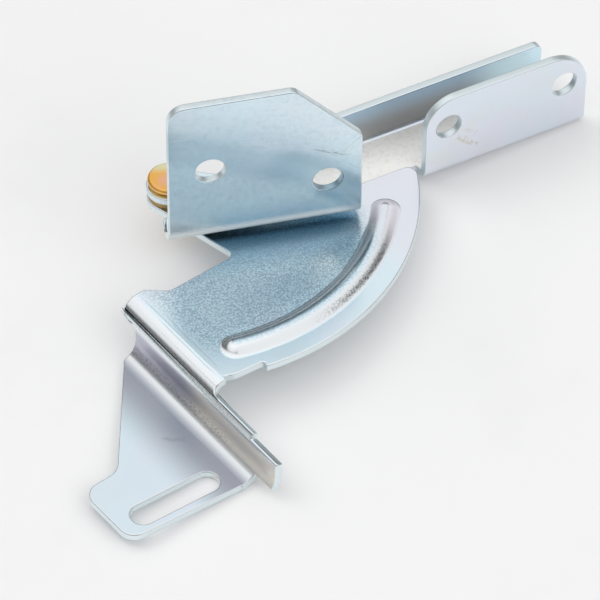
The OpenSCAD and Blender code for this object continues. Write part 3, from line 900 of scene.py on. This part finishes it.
# %% Bracket
BRACKET_FOOT = 1.6
PALE_LINE = (0.86, 0.90, 0.92, 1.0)
DENT = (0.42, 0.47, 0.50, 1.0)
# Deep blue of the film's mottle, also painted in bands as dark reflection
DEEP_FILM_AND_REFLECTION = (0.34, 0.50, 0.60, 1.0)
# White painted as a highlight along the fold of the bracket's foot
FOLD_HIGHLIGHT = (0.96, 1.0, 1.0, 1.0)
# along and height in mm, slope, length and width in mm, and share of each dark band painted as reflection
BRACKET_PAINTED_BANDS = (
    (9.0, 27.5, -0.46, 54.0, 14.0, 0.42),
    (31.0, 17.0, -0.70, 30.0, 13.0, 0.42),
    (39.0, 9.0, -0.90, 20.0, 12.0, 0.85),
    (40.0, 7.6, -0.40, 14.0, 1.8, 0.5),
)


def on_bracket(along_mm_value, height_mm):
    """A point on the front of the bracket's upright wall."""
    return pivot + (along_bracket * along_mm_value + bracket_front * 17.6 + Vector((0, 0, height_mm))) * MM


def bracket_cut_edge(tree, place, normal):
    """Ends, sloping corner, top and hole walls."""
    endways = facing(tree, normal, tuple(along_bracket), 0.12, 0.35)
    above_foot = ramp(tree, along_mm(tree, place, UP), 0.0, 1.0, BRACKET_FOOT + 5.0, BRACKET_FOOT + 6.0)
    wall_edge = both(tree, above_foot, outside(tree, facing(tree, normal, tuple(bracket_front), 0.3, 0.75)))
    return either(tree, endways, wall_edge)


def bracket_marks(tree, place, normal, colour, rough, height):
    """Level streaks and mottle in the film, painted dark bands and fold highlight, a ragged dent and a pale scratch."""
    level = add(
        tree,
        "ShaderNodeMapping",
        {"Vector": place, "Rotation": (0.0, 0.0, -BRACKET_TURN), "Scale": (0.06, 1.0, 1.0)},
    ).outputs[0]
    bands = ramp(tree, noise_at(tree, level, 3.0, 2.0, 0.5), 0.0, 1.0, 0.3, 0.75)
    colour = mix(tree, both(tree, bands, 0.16), colour, PALE_LINE)
    mottle = ramp(tree, noise_at(tree, place, 1.3, 4.0, 0.75), 0.0, 1.0, 0.42, 0.72)
    colour = mix(tree, both(tree, mottle, 0.24), colour, DEEP_FILM_AND_REFLECTION)
    # Painted highlight: a pale, dull line along the fold of the bracket's foot.
    low_down = ramp(tree, along_mm(tree, place, UP), 1.0, 0.0, BRACKET_FOOT + 2.5, BRACKET_FOOT + 4.6)
    outer_side = ramp(tree, along_mm(tree, place, bracket_front), 0.0, 1.0, 14.5, 16.5)
    painted_fold_highlight = both(tree, low_down, outer_side)
    colour = mix(tree, both(tree, painted_fold_highlight, 0.8), colour, FOLD_HIGHLIGHT)
    # Painted reflection: dark bands across the wall, running down towards its right corner.
    for x, z, up, length_mm, width_mm, share in BRACKET_PAINTED_BANDS:
        way = (along_bracket + Vector((0.0, 0.0, up))).normalized()
        shade = streak(tree, place, tuple(on_bracket(x, z)), tuple(way), length_mm, width_mm, 1.0, 12.0)
        colour = mix(tree, both(tree, shade, share), colour, DEEP_FILM_AND_REFLECTION)
    dent_way = (on_bracket(39.0, 21.6) - on_bracket(29.4, 25.6)).normalized()
    dent = streak(tree, place, tuple(on_bracket(34.2, 23.6)), tuple(dent_way), 11.0, 0.6, 0.5, 1.2)
    colour = mix(tree, both(tree, dent, 0.75), colour, DENT)
    height = calc(tree, "SUBTRACT", height, both(tree, dent, 0.04))
    scratch = streak(tree, place, tuple(on_bracket(-0.4, 35.1)), tuple(along_bracket), 5.0, 0.5, 0.2, 3.0)
    colour = mix(tree, both(tree, scratch, 0.5), colour, PALE_LINE)
    bare = outside(tree, both(tree, painted_fold_highlight, 0.9))
    return colour, rough, height, bare


BRACKET_LOOK = {
    "base": ZINC_BLUE,
    "lilac": ZINC_LILAC,
    "lilac_amount": 0.25,
    "straw_amount": 0.12,
    "cloud_mm": 24.0,
    "grain_mm": 0.5,
    "grain_depth": 0.0,
    "wave_mm": 20.0,
    "wave_depth": 0.05,
    "speckle": 0.0,
    "rough": 0.24,
    "bend_bare": 0.0,
    "flat_way": FRONT,
}
finish_node("pivot_bracket", zinc_material("pivot_bracket_zinc", BRACKET_LOOK, bracket_cut_edge, bracket_marks))

# %% [markdown]
# ## Yellow passivation
#
# The rivet's head and the washer have a thicker, yellow film. Over the few millimetres of the head it runs from a
# greenish gold at the far side to orange, with a pink middle, so its colours are placed and then clouded.

# %% Rivet and washer
GOLD = (0.93, 0.52, 0.13, 1.0)
PINK = (0.92, 0.50, 0.38, 1.0)
PALE_GOLD = (0.82, 0.82, 0.55, 1.0)
BROWN = (0.42, 0.29, 0.12, 1.0)
RIVET_TOP = 5.9
away = turn_to_row @ Vector((0.0, 1.0, 0.0))


def yellow_material(name, base, pink, pale, rough_value, pink_amount, pale_amount, placed):
    """Yellow passivation over zinc; placed says whether the pale and pink areas of the head are added."""
    material = bpy.data.materials.new(name)
    material.use_nodes = True
    tree = material.node_tree
    metal = tree.nodes["Principled BSDF"]
    place = add(tree, "ShaderNodeTexCoord").outputs["Object"]
    colour = add_group(
        tree,
        film,
        {
            "Vector": place,
            "Base": base,
            "Lilac": pink,
            "Straw": pale,
            "Cloud size mm": 5.0,
            "Lilac amount": pink_amount,
            "Straw amount": pale_amount,
        },
    ).outputs["Color"]
    if placed:
        far_side = ramp(tree, along_mm(tree, place, away), 0.0, 0.9, 0.4, 3.6)
        colour = mix(tree, far_side, colour, pale)
        gone = add(
            tree, "ShaderNodeVectorMath", {0: place, 1: tuple(from_pivot(-1.0, -0.6, RIVET_TOP))}, operation="SUBTRACT"
        ).outputs[0]
        from_centre = add(tree, "ShaderNodeVectorMath", {0: gone}, operation="LENGTH").outputs["Value"]
        centre = ramp(tree, from_centre, 0.8, 0.0, 0.3 * MM, 2.9 * MM)
        colour = mix(tree, centre, colour, pink)
    sheet = add_group(tree, grain, {"Vector": place, "Grain size mm": 0.5, "Grain depth": 0.004, "Wave depth": 0.02})
    bump = add(tree, "ShaderNodeBump", {"Height": sheet.outputs["Height"], "Distance": MM, "Strength": 1.0})
    rough = ramp(tree, sheet.outputs["Speckle"], rough_value, rough_value + 0.1, curve="LINEAR")
    metal.inputs["Metallic"].default_value = 1.0
    tree.links.new(colour, metal.inputs["Base Color"])
    tree.links.new(rough, metal.inputs["Roughness"])
    tree.links.new(bump.outputs[0], metal.inputs["Normal"])
    return material


finish_node("pivot_rivet", yellow_material("rivet_yellow", GOLD, PINK, PALE_GOLD, 0.28, 0.4, 0.3, True))
finish_node("spacer_washer", yellow_material("washer_yellow", BROWN, GOLD, PALE_GOLD, 0.38, 0.2, 0.35, False))

# %% [markdown]
# ## Closing
#
# The view transform is the plain one, so that a colour comes out as it was written.

# %% Finish
bpy.context.scene.view_settings.view_transform = "Standard"
